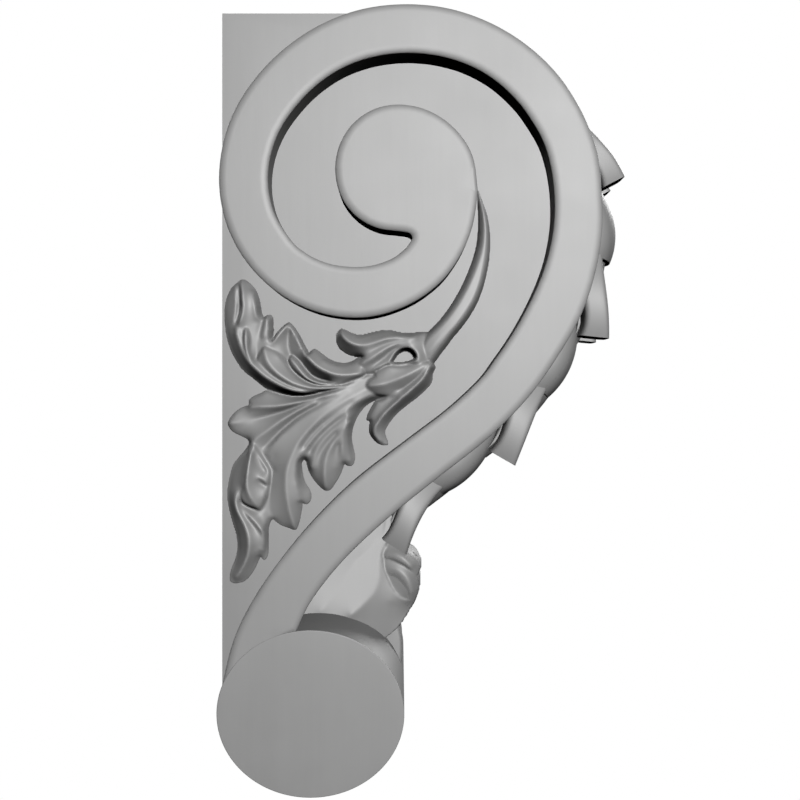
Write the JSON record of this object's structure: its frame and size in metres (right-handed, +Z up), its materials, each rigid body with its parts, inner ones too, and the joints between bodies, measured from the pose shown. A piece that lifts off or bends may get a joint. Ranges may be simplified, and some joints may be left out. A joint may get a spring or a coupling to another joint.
{
  "type": "corbel bracket",
  "caption": "Carved scroll corbel with a flat back and top, raised volute and S band, acanthus side leaf, husks down the front and a roll foot.",
  "frame": {"origin": "middle of the flat back face, where it meets the wall, at half the height", "axes": "+X points away from the wall, +Z is up, and the two carved sides mirror each other in Y"},
  "size_m": [0.1936, 0.14, 0.356],
  "materials": {
    "corbel": "carved wood under a matt neutral grey primer"
  },
  "bodies": {
    "root": {"corbel": "corbel"}
  },
  "joints": []
}
